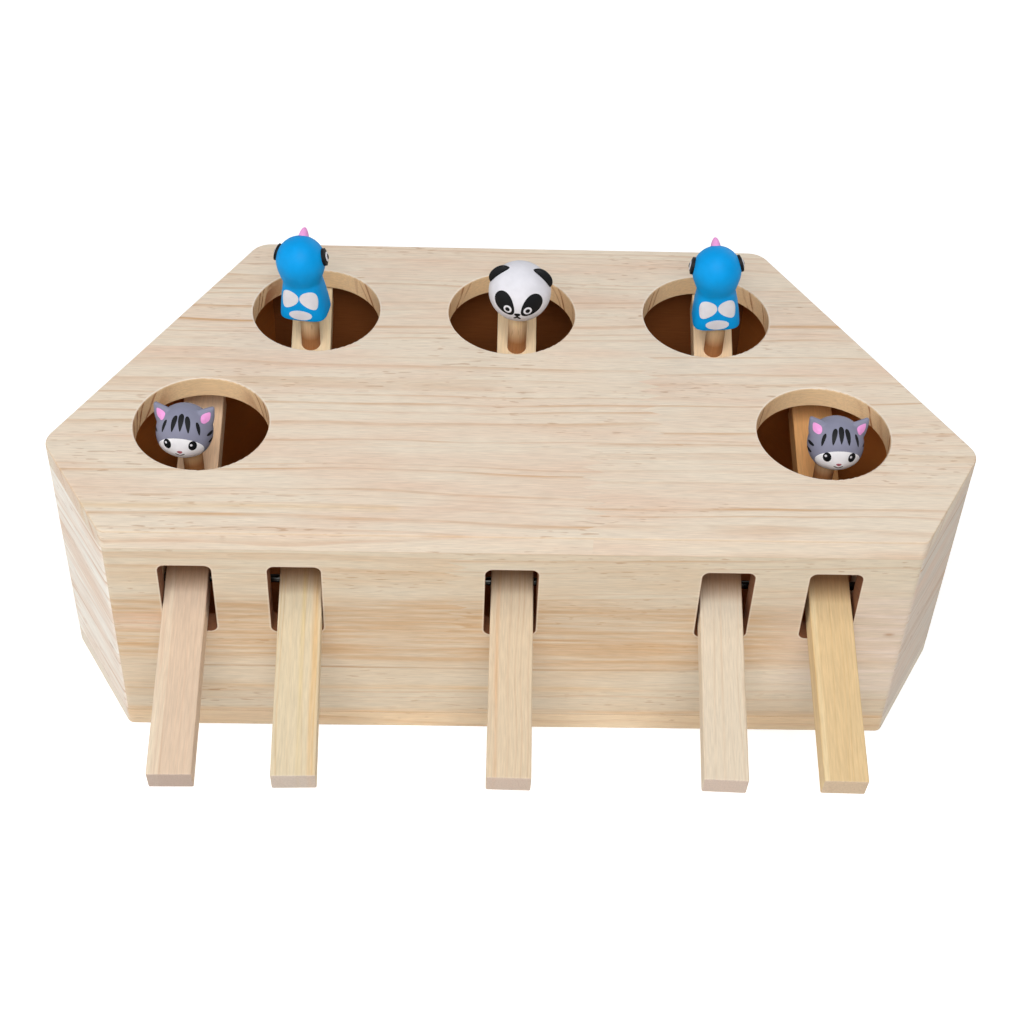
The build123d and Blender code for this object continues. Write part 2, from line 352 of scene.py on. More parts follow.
    def _stave(self) -> tuple[Socket, Socket]:
        """Picks where in the tree each finger-jointed length of each strip was cut.

        Returns:
            A random vector for the length of wood, and its brightness.
        """
        pine = self.pine
        if not pine.strip_width:
            return self.add("TexWhiteNoise", {"W": pine.seed}, out="Color", noise_dimensions="1D"), 1.0
        strip = self.add("Math", {0: self.v, 1: pine.strip_width}, operation="SNAP")
        strip = self.add("Math", {0: strip, 1: pine.seed}, operation="ADD")
        chance = self.add("TexWhiteNoise", {"W": strip}, noise_dimensions="1D")
        joint = self.add("MapRange", {0: chance, 3: -pine.joint_spread, 4: pine.joint_spread})
        tooth = self.add("Math", {0: self.v, 1: self.TOOTH_PITCH / 2}, operation="PINGPONG")
        slope = 2 * self.TOOTH_LENGTH / self.TOOTH_PITCH
        reach = self.add("Math", {0: tooth, 1: slope, 2: self.u}, operation="MULTIPLY_ADD")
        beyond = self.add("Math", {0: reach, 1: joint}, operation="GREATER_THAN")
        number = self.add("Math", {0: beyond, 1: self.BEYOND_JOINT, 2: strip}, operation="MULTIPLY_ADD")
        lot = self.add("TexWhiteNoise", {"W": number}, out="Color", noise_dimensions="1D")
        chance_of_tone = self.add("SeparateColor", {0: lot}, out=1)
        darkest, palest = self.STAVE_TONES
        return lot, self.add("MapRange", {0: chance_of_tone, 3: darkest, 4: palest})

    def _growth_lines(self) -> Socket:
        """Draws the latewood: lines that darken slowly and end sharply, of uneven spacing and strength.

        Returns:
            How much latewood shows, 0 to 1.
        """
        bent = self.dot(self.grain, self.RING_SLANT)
        ripple = self.RIPPLE.noise(self, self.grain)
        for bend, height in ((self.waver, self.pine.swing), (ripple, self.RIPPLE_HEIGHT)):
            bent = self.add("Math", {0: bend, 1: height, 2: bent}, operation="MULTIPLY_ADD")
        rings = self.add("Math", {0: bent, 1: self.pine.line_spacing}, operation="DIVIDE")
        widths = {"W": rings, "Scale": self.YEARS_IN_STEP, "Detail": 1.0}
        uneven = self.add("TexNoise", widths, noise_dimensions="1D")
        rings = self.add("Math", {0: uneven, 1: self.YEAR_UNEVEN, 2: rings}, operation="MULTIPLY_ADD")
        phase = self.add("Math", {0: rings}, operation="FRACT")
        rising = {0: phase, 1: self.LATE_START, 2: self.LATE_PEAK}
        falling = {0: phase, 1: self.LATE_PEAK, 2: 1.0, 3: 1.0, 4: 0.0}
        rise, fall = (
            self.add("MapRange", slope, interpolation_type="SMOOTHSTEP") for slope in (rising, falling)
        )
        year = self.add("Math", {0: rings}, operation="FLOOR")
        vigour = self.add("TexWhiteNoise", {"W": year}, noise_dimensions="1D")
        vigour = self.add("MapRange", {0: vigour, 3: self.FAINTEST_YEAR, 4: 1.0})
        patchy = self.LINE_PATCHES.patches(self, self.grain, least=self.FAINTEST_PATCH)
        return self.product(rise, fall, vigour, patchy, self.pine.line_strength)

    def _crossing(self) -> Socket:
        """Finds end grain.

        Returns:
            How squarely a face cuts across the grain, 0 to 1.
        """
        squareness = self.add("Math", {0: self.dot(self.normal, self.pine.along)}, operation="ABSOLUTE")
        begins, full = self.END_GRAIN
        return self.add("MapRange", {0: squareness, 1: begins, 2: full}, interpolation_type="SMOOTHSTEP")

    def _heartwood(self) -> None:
        """Clouds the pale earlywood with pinker heartwood."""
        cloud = self.CLOUD.patches(self, self.grain, most=self.CLOUD_STRENGTH)
        self._cover(cloud, linear(self.pine.blush))

    def _latewood(self) -> None:
        """Draws the growth lines, redder in places."""
        redness = self.REDNESS.patches(self, self.grain)
        self._cover(self.line, self.lay(redness, linear(self.pine.late), linear(self.pine.rosy)))

    def _flecks(self) -> None:
        """Scatters resin canals in some places: short dark dashes, drawn wide enough to show."""
        dash = self.DASH.patches(self, self.grain, most=self.pine.fleck_strength)
        place = self.DASH_PLACES.patches(self, self.grain)
        self._cover(self.product(dash, place), linear(self.DASH_COLOUR))

    def _streaks(self) -> None:
        """Lays each streak over the colour, bent a little as the grain is."""
        if not self.pine.streaks:
            return
        patchy = self.STREAK_PATCHES.patches(self, self.grain, *self.STREAK_SHARES)
        bent = self.add("Math", {0: self.waver, 1: self.STREAK_BEND, 2: self.v}, operation="MULTIPLY_ADD")
        for streak in self.pine.streaks:
            beside = self.apart(bent, streak.across + self.STREAK_BEND / 2)
            core = streak.half_width * (1 - streak.soft)
            sides = {0: beside, 1: core, 2: streak.half_width, 3: streak.strength, 4: 0.0}
            near = self.add("MapRange", sides, interpolation_type="SMOOTHSTEP")
            half = (streak.stop - streak.start) / 2
            run = self.apart(self.u, streak.start + half)
            within = self.add("MapRange", {0: run, 1: half - streak.fade, 2: half, 3: 1.0, 4: 0.0})
            share = self.product(near, within, patchy) if streak.patchy else self.product(near, within)
            self._cover(share, linear(streak.colour))

    def _end_grain(self) -> None:
        """Colours the faces that cut across the grain."""
        self._cover(self.product(self.crossing, self.pine.end_share), linear(self.pine.end_colour))

    def _cut_sides(self) -> None:
        """Colours the sides of holes and slots, darker and banded across the grain, with painted light in
        the holes, painted shade in the slots and a painted highlight round their edges.
        """
        pine, nothing = self.pine, (0.0, 0.0, 0.0)
        if not pine.cuts:
            return
        place = self.add("CombineXYZ", {0: self.u, 1: self.v})
        edge: Socket = 1.0
        for cut in pine.cuts:
            offset = place
            for operation, vector in (
                ("SUBTRACT", (cut.along, cut.across, 0.0)),
                ("ABSOLUTE", nothing),
                ("SUBTRACT", (cut.half_along - cut.corner, cut.half_across - cut.corner, 0.0)),
                ("MAXIMUM", nothing),
            ):
                offset = self.add("VectorMath", {0: offset, 1: vector}, operation=operation)
            reach = self.add("VectorMath", {0: offset}, out="Value", operation="LENGTH")
            gap = self.add("Math", {0: reach, 1: cut.corner}, operation="SUBTRACT")
            edge = self.add("Math", {0: gap, 1: edge}, operation="MINIMUM")
        full_line = self.FULL_BAND * pine.line_strength
        band = self.add("MapRange", {0: self.line, 2: full_line, 3: self.FAINTEST_BAND, 4: 1.0})
        side = self.lay(self.product(self.crossing, band), linear(pine.cut_side_light_and_shade), linear(pine.cut_end_grain_and_shade))
        # painted highlight: a pale band on the face round each cut's edge
        near, far = self.RIM
        beside = {0: edge, 1: near, 2: far, 3: self.RIM_SHARE, 4: 0.0}
        self._cover(self.add("MapRange", beside), linear(pine.rim_highlight))
        near, far = self.CUT_SIDE
        inside = {0: edge, 1: near, 2: far, 3: self.CUT_SIDE_SHARE, 4: 0.0}
        self._cover(self.add("MapRange", inside, interpolation_type="SMOOTHSTEP"), side)

    def _fibres(self) -> None:
        """Shades the wood fibre by fibre, and each glued length by its own brightness."""
        darkest, palest = self.FIBRE_SHADES
        spread = {0: self.fibre, 1: self.FIBRE.low, 2: self.FIBRE.high, 3: darkest, 4: palest}
        self.colour = self.shaded(self.colour, self.product(self.add("MapRange", spread), self.tone))

    def _seams(self) -> None:
        """Draws the fine tan glue lines between boards."""
        height = self.add("SeparateXYZ", {0: self.coordinates}, out="Z")
        near, far = self.SEAM
        for seam in self.pine.seams:
            offset = self.apart(height, seam * MM)
            beside = {0: offset, 1: near * MM, 2: far * MM, 3: self.SEAM_SHARE, 4: 0.0}
            self._cover(self.add("MapRange", beside), linear(self.SEAM_COLOUR))

    def _paint_edge_shade(self) -> None:
        """Darkens the rounding between level and upright faces: painted shade against the highlight the
        rounding catches.
        """
        if not self.pine.painted_edge_shade:
            return
        rise = self.add("SeparateXYZ", {0: self.normal}, out="Z")
        rise = self.add("Math", {0: rise}, operation="ABSOLUTE")
        level = self.add("Math", {0: 1.0, 1: rise}, operation="SUBTRACT")
        begins, full = self.ROUNDING
        rounding = {0: self.product(rise, level), 1: begins, 2: full, 4: self.pine.painted_edge_shade}
        self._cover(self.add("MapRange", rounding), linear(self.HANDLED_COLOUR))

    def _paint_inside_shade(self) -> None:
        """Colours the inside of the box dark brown, streaked a little by the fibres under it: painted shade
        for the dim inside.
        """
        if self.pine.inside_shade_depth is None:
            return
        inside = self.add("Math", {0: self.depth, 1: self.pine.inside_shade_depth}, operation="GREATER_THAN")
        low, high = self.STAIN_FIBRES
        share = self.add("MapRange", {0: self.fibre, 1: low, 2: high, 4: self.STAIN_STREAKS})
        self._cover(inside, self.lay(share, linear(self.pine.inside_shade), linear(self.STAIN_STREAK)))


@dataclass(frozen=True)
class DrawnSteel:
    """Steel wire, drawn through a die: fine lines run along it and stretch the highlights."""

    name: str = "drawn_steel"
    # far darker than bare steel: painted shade, for the rod lies in the dim inside of the box
    colour: str = "#3c3c3a"
    die_line: float = 0.25  # millimetres, coarser than the real lines so that they show
    line_length: float = 50.0  # millimetres
    smoothest: float = 0.15
    roughest: float = 0.28
    bump: float = 0.2
    bump_height: float = 0.01  # millimetres

    def build(self) -> bpy.types.Material:
        """Makes the material.

        Returns:
            The material.
        """
        material = new_material(self.name)
        g = Graph(material.node_tree)
        stretch = Vector((1 / self.line_length, 1 / self.die_line, 1 / self.die_line)) / MM
        coordinates = g.add("TexCoord", out="Object")
        scaled = g.add("VectorMath", {0: coordinates, 1: stretch}, operation="MULTIPLY")
        lines = g.add("TexNoise", {"Vector": scaled, "Scale": 1.0, "Detail": 2.0})
        dullness = {0: lines, 1: NOISE_LOW, 2: NOISE_HIGH, 3: self.smoothest, 4: self.roughest}
        bump = {"Strength": self.bump, "Distance": self.bump_height * MM, "Height": lines}
        g.surface({
            "Base Color": linear(self.colour),
            "Metallic": 1.0,
            "Roughness": g.add("MapRange", dullness),
            "Normal": g.add("Bump", bump),
        })
        return material


class Paint(Enum):
    """The colours that the rubber figures are moulded and painted in."""

    TABBY_GREY = "#87889c"
    CHALK_WHITE = "#e2e1e8"
    MILK_WHITE = "#f4f3f7"
    SOOT = "#0f1013"
    PETAL_PINK = "#f0a2dc"
    AZURE = "#009ae4"
    NOSE_ROSE = "#a8606c"
    BEAK_YELLOW = "#f2b63a"


@dataclass(frozen=True)
class Rubber:
    """Soft vinyl rubber from a mould, with sprayed colour: a satin surface, faintly uneven and pebbled."""

    paint: Paint
    smoothest: float = 0.45
    roughest: float = 0.57
    clouds: float = 0.22  # uneven patches in a millimetre
    pebble: float = 0.5  # millimetres between the mould's faint bumps
    bump: float = 0.12
    bump_height: float = 0.03  # millimetres
    shades: tuple[float, float] = (0.94, 1.04)  # brightness of the darkest and the palest patches
    ior: float = 1.48
    sheen: float = 0.15  # the sprayed colour's dullness takes the rest

    def build(self) -> bpy.types.Material:
        """Makes the material.

        Returns:
            The material.
        """
        material = new_material("moulded_rubber_" + self.paint.name.lower())
        g = Graph(material.node_tree)
        coordinates = g.add("TexCoord", out="Object")
        uneven = g.add("TexNoise", {"Vector": coordinates, "Scale": self.clouds / MM, "Detail": 2.0})
        pebbles = g.add("TexNoise", {"Vector": coordinates, "Scale": 1 / (self.pebble * MM), "Detail": 1.0})
        shade, rough = (
            g.add("MapRange", {0: uneven, 1: NOISE_LOW, 2: NOISE_HIGH, 3: least, 4: most})
            for least, most in (self.shades, (self.smoothest, self.roughest))
        )
        bump = {"Strength": self.bump, "Distance": self.bump_height * MM, "Height": pebbles}
        g.surface({
            "Base Color": g.shaded(linear(self.paint.value), shade),
            "Roughness": rough,
            "Normal": g.add("Bump", bump),
            "IOR": self.ior,
            "Specular IOR Level": self.sheen,
        })
        return material


def facing(turn: float, rise: float) -> Vector:
    """The way out of a head at an angle.

    Args:
        turn: Degrees from straight ahead, -Y, towards +X.
        rise: Degrees above the horizon.

    Returns:
        A unit vector.
    """
    a, e = math.radians(turn), math.radians(rise)
    return Vector((math.cos(e) * math.sin(a), -math.cos(e) * math.cos(a), math.sin(e)))


@dataclass(frozen=True)
class Mark:
    """A painted or raised patch: a drop-shaped outline laid on the skin below it, in millimetres."""

    middle: Vector
    outward: Vector
    width: float
    height: float
    paint: Paint
    tilt: float = 0.0  # degrees, turning the top to the right as seen from outside
    taper: float = 0.0  # 0 for an oval, towards 1 for a pointed top
    lift: float = 0.06  # how far it stands off the skin
    crown: float = 0.0  # how much further its middle stands off

    POINTS: ClassVar[int] = 40
    FEWEST_RINGS: ClassVar[int] = 3
    RING_GAP: ClassVar[float] = 0.7  # close enough for the skin not to show through
    INNERMOST: ClassVar[float] = 0.1  # share of the outline's size that the last ring has
    SUNK: ClassVar[float] = 0.25
    CLEAR: ClassVar[float] = 8.0  # outside of any skin

    def rings(self, surface: BVHTree) -> Rings:
        """Lays the outline on a skin.

        Args:
            surface: The skin.

        Returns:
            Rings for one closed patch: a sunk underside, then the top from its edge to its middle.
        """
        side = UP.cross(self.outward).normalized()
        rise = self.outward.cross(side)
        turn = math.radians(self.tilt)
        count = self.FEWEST_RINGS + round(max(self.width, self.height) / 2 / self.RING_GAP)
        shares = [1 - (1 - self.INNERMOST) * step / count for step in range(count + 1)]
        laid = []
        for share in shares:
            ring = []
            for step in range(self.POINTS):
                angle = 2 * math.pi * step / self.POINTS
                across = self.width / 2 * share * math.sin(angle) * (1 - self.taper * math.cos(angle))
                along = self.height / 2 * share * math.cos(angle)
                x = across * math.cos(turn) + along * math.sin(turn)
                y = along * math.cos(turn) - across * math.sin(turn)
                start = self.middle + side * x + rise * y + self.outward * self.CLEAR
                hit = surface.ray_cast(start, -self.outward)[0]
                ring.append(hit or surface.find_nearest(start)[0])
            laid.append(ring)
        under = [[point - self.outward * self.SUNK for point in laid[0]]]
        tops = [
            [point + self.outward * (self.lift + self.crown * (1 - share * share)) for point in ring]
            for share, ring in zip(shares, laid)
        ]
        return under + tops


@dataclass
class Draft:
    """Points in millimetres and painted faces, before they become one mesh."""

    points: list[Vector] = field(default_factory=list)
    faces: list[tuple[int, ...]] = field(default_factory=list)
    paints: list[Paint] = field(default_factory=list)

    SHARP_ANGLE: ClassVar[float] = 50.0  # degrees; a sharper edge shows as an edge

    def skin(self, rings: Sequence[Sequence[Vector]], paint: Paint) -> None:
        """Adds a closed skin through rings of equal count, with a fan over each end.

        Args:
            rings: Rings of points, each going the same way round.
            paint: The skin's colour.
        """
        first, count = len(self.points), len(rings[0])
        last = first + (len(rings) - 1) * count
        for ring in rings:
            self.points.extend(ring)
        added = []
        for low in range(first, last, count):
            for step in range(count):
                after = (step + 1) % count
                added.append((low + step, low + after, low + count + after, low + count + step))
        for ring, start, flip in ((rings[0], first, True), (rings[-1], last, False)):
            pole = len(self.points)
            self.points.append(sum(ring, Vector()) / count)
            for step in range(count):
                edge = (start + step, start + (step + 1) % count)
                added.append((*(edge[::-1] if flip else edge), pole))
        self.faces.extend(added)
        self.paints.extend([paint] * len(added))

    def mark(self, marks: Sequence[Mark]) -> None:
        """Lays marks on the skins so far, all at once, so that none lies on another.

        Args:
            marks: The marks.
        """
        surface = BVHTree.FromPolygons(self.points, self.faces)
        for mark in marks:
            self.skin(mark.rings(surface), mark.paint)

    def mesh(self, name: str, scale: float) -> bpy.types.Mesh:
        """Makes a mesh with outward normals.

        Args:
            name: The mesh's name.
            scale: Mesh units in a millimetre.

        Returns:
            The mesh, without materials.
        """
        mesh = bpy.data.meshes.new(name)
        mesh.from_pydata([point * scale for point in self.points], [], self.faces)
        mesh.validate()
        return mesh

    def fused(self, voxel: float, smoothing: int) -> "Draft":
        """Joins overlapping skins of one colour into one skin with soft inner corners.

        Args:
            voxel: Size of the joining grid, in millimetres.
            smoothing: Rounds of smoothing.

        Returns:
            The joined draft.
        """
        holder = bpy.data.objects.new("fusing", self.mesh("fusing", 1.0))
        bpy.context.scene.collection.objects.link(holder)
        joining = holder.modifiers.new("joining", "REMESH")
        joining.mode = "VOXEL"
        joining.voxel_size = voxel
        easing = holder.modifiers.new("easing", "SMOOTH")
        easing.iterations = smoothing
        finished = holder.evaluated_get(bpy.context.evaluated_depsgraph_get())
        joined = bpy.data.meshes.new_from_object(finished)
        points = [vertex.co.copy() for vertex in joined.vertices]
        faces = [tuple(polygon.vertices) for polygon in joined.polygons]
        bpy.data.objects.remove(holder)
        return Draft(points, faces, [self.paints[0]] * len(faces))

    def piece(self, name: str, materials: dict[Paint, bpy.types.Material]) -> bpy.types.Object:
        """Makes one smooth-shaded object with a material slot for each colour in use.

        Args:
            name: The piece's name.
            materials: The finish of each colour.

        Returns:
            The object, at the origin.
        """
        mesh = self.mesh(name, MM)
        in_use = list(dict.fromkeys(self.paints))
        for paint in in_use:
            mesh.materials.append(materials[paint])
        for polygon, paint in zip(mesh.polygons, self.paints):
            polygon.material_index = in_use.index(paint)
        mesh.shade_smooth()
        mesh.set_sharp_from_angle(angle=math.radians(self.SHARP_ANGLE))
        piece = bpy.data.objects.new(name, mesh)
        bpy.context.scene.collection.objects.link(piece)
        return piece


def horn_rings(root: Vector, tip: Vector, section: Section, side: Vector, levels: int) -> Rings:
    """Rings along a short straight horn, as for an ear, a crest or a beak.

    Args:
        root: Where it starts.
        tip: Where it ends.
        section: Half width, and half thickness before and behind, at a share of its length.
        side: The way the width is measured.
        levels: How many rings after the first.

    Returns:
        Rings from the root to the tip.
    """
    points = 36
    back = (tip - root).cross(side).normalized()
    rings = []
    for level in range(levels + 1):
        here = root.lerp(tip, level / levels)
        width, front_half, back_half = section(level / levels)
        ring = []
        for step in range(points):
            angle = 2 * math.pi * step / points
            thick = back_half if math.sin(angle) > 0 else front_half
            ring.append(here + side * (width * math.cos(angle)) + back * (thick * math.sin(angle)))
        rings.append(ring)
    return rings


def fullness(share: float, bluntness: float, least: float) -> float:
    """How full a blunt horn is at a share of its length; a blunter one stays full for longer."""
    return math.sqrt(max(0.0, 1 - share**bluntness)) + least


@dataclass
class Figure:
    """A rubber figure, moulded in one piece and painted, pressed on top of one dowel."""

    node: str
    number: int  # of its lever and dowel
    offset: float = 0.0  # to the right of its dowel, in millimetres
    turn: float = 0.0  # degrees about its dowel, anticlockwise from above
    lean: float = 0.0  # degrees to the right as the player sees it
    drop: float = 0.0  # how much further down its dowel it is pushed, in millimetres

    material_slot: ClassVar[str] = ""
    sink: ClassVar[float] = 0.0  # how far the dowel goes up into it

    def shape(self) -> Draft:
        """The figure in millimetres, with the middle of its base at the origin."""
        raise NotImplementedError

    def build(self, materials: dict[Paint, bpy.types.Material]) -> bpy.types.Object:
        """Makes the figure on its dowel, and has it ride on its lever.

        Args:
            materials: The finish of each colour.

        Returns:
            The piece.
        """
        low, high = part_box(f"dowel_{self.number}")
        piece = self.shape().piece(self.node + "_rubber", materials)
        seat = (low + high) / 2
        seat.x += self.offset * MM
        seat.z = high.z - (self.sink + self.drop) * MM
        turned = Matrix.Rotation(math.radians(self.turn), 4, "Z")
        leant = Matrix.Rotation(math.radians(self.lean), 4, "Y")
        piece.data.transform(leant @ turned)
        piece.matrix_world = Matrix.Translation(seat)
        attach(piece, f"rocker_{self.number}")
        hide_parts(self.node)
        return piece


@dataclass(frozen=True)
class Bulge:
    """A soft swelling of a head; angles in degrees, height in millimetres."""

    turn: float
    rise: float
    height: float
    spread: float


@dataclass(frozen=True)
class Spot:
    """A mark's place on a head by angle, in degrees, and its size in millimetres."""

    turn: float
    rise: float
    width: float
    height: float
    paint: Paint = Paint.SOOT
    tilt: float = 0.0
    taper: float = 0.0
    crown: float = 0.0
    paired: bool = False  # with a mirrored one on the other side


@dataclass
class Head(Figure):
    """A figure that is only a head: a swollen ball with a flat base, painted in layers."""

    base_drop: float = 0.0  # the head's middle down to its base
    radii: tuple[float, float, float] = (0.0, 0.0, 0.0)

    COLUMNS: ClassVar[int] = 72
    ROWS: ClassVar[int] = 44
    HIGHEST: ClassVar[float] = 88.0  # degrees up to the last ring
    BULGES: ClassVar[tuple[Bulge, ...]] = ()
    LAYERS: ClassVar[tuple[tuple[Spot, ...], ...]] = ()  # each painted over the one before

    @property
    def middle(self) -> Vector:
        """The head's middle."""
        return Vector((0, 0, self.base_drop))

    def _ball_rings(self) -> Rings:
        """The ball with its swellings and flat base.

        Returns:
            Rings from the base to the crown.
        """
        radii = Vector(self.radii)
        lowest = -math.asin(min(1.0, self.base_drop / radii.z))
        highest = math.radians(self.HIGHEST)
        ways = [(bulge, facing(bulge.turn, bulge.rise)) for bulge in self.BULGES]
        rings = []
        for row in range(self.ROWS + 1):
            rise = math.degrees(lowest + (highest - lowest) * row / self.ROWS)
            ring = []
            for column in range(self.COLUMNS):
                out = facing(360 * column / self.COLUMNS, rise)
                swell = sum(
                    bulge.height * math.exp(-((math.degrees(out.angle(way)) / bulge.spread) ** 2))
                    for bulge, way in ways
                )
                point = self.middle + out * radii + out * swell
                point.z = max(point.z, self.middle.z - self.base_drop)
                ring.append(point)
            rings.append(ring)
        return rings

    def _paint(self, draft: Draft, others: Sequence[Mark] = ()) -> None:
        """Lays each layer of spots on the head, the paired ones on both sides.

        Args:
            draft: The head so far.
            others: More marks for the first layer.
        """
        for layer in self.LAYERS:
            marks = list(others)
            others = ()
            for spot in layer:
                for side in SIDES if spot.paired else (1,):
                    out = facing(side * spot.turn, spot.rise)
                    marks.append(Mark(
                        self.middle + out * self.radii[0], out, spot.width, spot.height, spot.paint,
                        tilt=side * spot.tilt, taper=spot.taper, crown=spot.crown,
                    ))
            draft.mark(marks)


@dataclass
class Kitten(Head):
    """A plain tabby kitten's head with a white face."""

    base_drop: float = 8.2
    radii: tuple[float, float, float] = (9.9, 9.5, 9.5)
    ear_root: tuple[float, float, float] = (6.2, 0.8, 4.8)  # from the head's middle, on the right
    ear_tip: tuple[float, float, float] = (10.2, 1.6, 10.0)
    ear_half_width: float = 3.7
    ear_tip_half: float = 0.55
    lining_place: float = 0.42  # share of the ear's length

    material_slot: ClassVar[str] = "grey_rubber"
    sink: ClassVar[float] = 10.7
    BULGES: ClassVar[tuple[Bulge, ...]] = (
        Bulge(-48, -20, 0.55, 26), Bulge(48, -20, 0.55, 26), Bulge(0, -20, 0.6, 20),
    )
    STRIPES: ClassVar[tuple[Spot, ...]] = (
        Spot(0, 58, 1.8, 6.4, taper=-0.45),
        Spot(0, 152, 1.8, 6.0, taper=-0.45),
        Spot(0, 188, 1.8, 5.0, taper=-0.45),
        Spot(25, 52, 1.7, 6.0, tilt=10, taper=-0.4, paired=True),
        Spot(50, 36, 1.3, 4.6, tilt=16, taper=-0.3, paired=True),
        Spot(76, 10, 1.2, 4.4, tilt=105, paired=True),
        Spot(76, -7, 1.2, 4.4, tilt=105, paired=True),
        Spot(128, 22, 1.6, 6.0, tilt=30, paired=True),
    )
    WHITE_FACE: ClassVar[Spot] = Spot(0, -12, 15.6, 11.0, Paint.MILK_WHITE, taper=0.12)
    NOSE: ClassVar[Spot] = Spot(0, -9, 1.7, 1.2, Paint.NOSE_ROSE, taper=-0.5)
    EYE: ClassVar[Spot] = Spot(27, 5, 3.0, 3.7, tilt=6, paired=True)
    MOUTH: ClassVar[Spot] = Spot(4.6, -16, 0.45, 1.9, tilt=66, paired=True)
    EYE_LIGHTS: ClassVar[tuple[Spot, ...]] = (
        Spot(-30, 7.5, 0.9, 0.9, Paint.CHALK_WHITE), Spot(24, 7.5, 0.9, 0.9, Paint.CHALK_WHITE),
    )
    LAYERS: ClassVar[tuple[tuple[Spot, ...], ...]] = (
        (WHITE_FACE, *STRIPES), (NOSE, EYE, MOUTH), EYE_LIGHTS,
    )
    LINING: ClassVar[Spot] = Spot(6, 12, 2.9, 4.0, Paint.PETAL_PINK, taper=0.5)  # turned as the ear faces

    def shape(self) -> Draft:
        """Head and ears in one skin, then the stripes with the ears' linings, and the face.

        Returns:
            The draft.
        """
        draft = Draft()
        draft.skin(self._ball_rings(), Paint.TABBY_GREY)
        for side in SIDES:
            root, tip = self._ear(side)
            width_way = (tip - root).cross(BACK).normalized()
            draft.skin(horn_rings(root, tip, self._ear_section, width_way, levels=10), Paint.TABBY_GREY)
        draft = draft.fused(voxel=0.28, smoothing=5)
        self._paint(draft, [self._lining(side) for side in SIDES])
        return draft

    def _ear(self, side: int) -> tuple[Vector, Vector]:
        """Where an ear starts and ends."""
        root, tip = (Vector((side * x, y, z)) for x, y, z in (self.ear_root, self.ear_tip))
        return self.middle + root, self.middle + tip

    def _ear_section(self, share: float) -> tuple[float, float, float]:
        """Half width, and half thickness before and behind: pointed, flat in front and full behind."""
        width = self.ear_half_width * (1 - share**1.4) + self.ear_tip_half
        return width, 0.7 + 0.3 * share, 1.9 * (1 - share) + 0.5

    def _lining(self, side: int) -> Mark:
        """The pink inside of an ear.

        Args:
            side: -1 for the left ear, 1 for the right.

        Returns:
            The mark.
        """
        root, tip = self._ear(side)
        lean = math.degrees(math.atan2(abs(tip.x - root.x), tip.z - root.z))
        spot, middle = self.LINING, root.lerp(tip, self.lining_place)
        outward = facing(side * spot.turn, spot.rise)
        return Mark(
            middle, outward, spot.width, spot.height, spot.paint, tilt=side * lean, taper=spot.taper
        )


@dataclass
class Panda(Head):
    """A panda's head that faces the player."""

    base_drop: float = 9.8
    radii: tuple[float, float, float] = (11.5, 11.2, 11.1)
    ear_spread: float = 8.3
    ear_rise: float = 7.2
    ear_half_width: float = 4.9
    ear_half_thickness: float = 1.8
    ear_length: float = 4.4
    ear_sunk: float = 2.4  # into the head

    material_slot: ClassVar[str] = "white_rubber"
    sink: ClassVar[float] = 13.1
    BULGES: ClassVar[tuple[Bulge, ...]] = (Bulge(0, -12, 0.3, 20),)
    NOSE: ClassVar[Spot] = Spot(0, -12, 2.2, 1.7, taper=-0.4, crown=0.15)
    LIP_LINE: ClassVar[Spot] = Spot(0, -16, 0.8, 1.8)
    MOUTH: ClassVar[Spot] = Spot(3.2, -21, 0.9, 2.1, tilt=-42, paired=True)
    EYE_PATCH: ClassVar[Spot] = Spot(27, 6, 7.2, 10.0, tilt=44, taper=-0.2, paired=True)
    EYE: ClassVar[Spot] = Spot(19, -2, 3.2, 3.2, Paint.CHALK_WHITE, paired=True)
    PUPIL: ClassVar[Spot] = Spot(19, -2, 1.75, 1.75, paired=True)
    LAYERS: ClassVar[tuple[tuple[Spot, ...], ...]] = ((NOSE, LIP_LINE, MOUTH, EYE_PATCH), (EYE,), (PUPIL,))

    def shape(self) -> Draft:
        """Head, ears, eye patches, eyes, nose and mouth.

        Returns:
            The draft.
        """
        draft = Draft()
        draft.skin(self._ball_rings(), Paint.CHALK_WHITE)
        draft = draft.fused(voxel=0.3, smoothing=4)
        for side in SIDES:
            way = Vector((side * self.ear_spread, 0, self.ear_rise)).normalized()
            root = self.middle + way * (self.radii[0] - self.ear_sunk)
            across = way.cross(BACK).normalized()
            ear = horn_rings(root, root + way * self.ear_length, self._ear_section, across, levels=16)
            draft.skin(ear, Paint.SOOT)
        self._paint(draft)
        return draft

    def _ear_section(self, share: float) -> tuple[float, float, float]:
        """Half width, and half thickness before and behind: round, and thick at the root."""
        full = fullness(share, bluntness=2.6, least=0.01)
        return self.ear_half_width * full, self.ear_half_thickness * full, self.ear_half_thickness * full


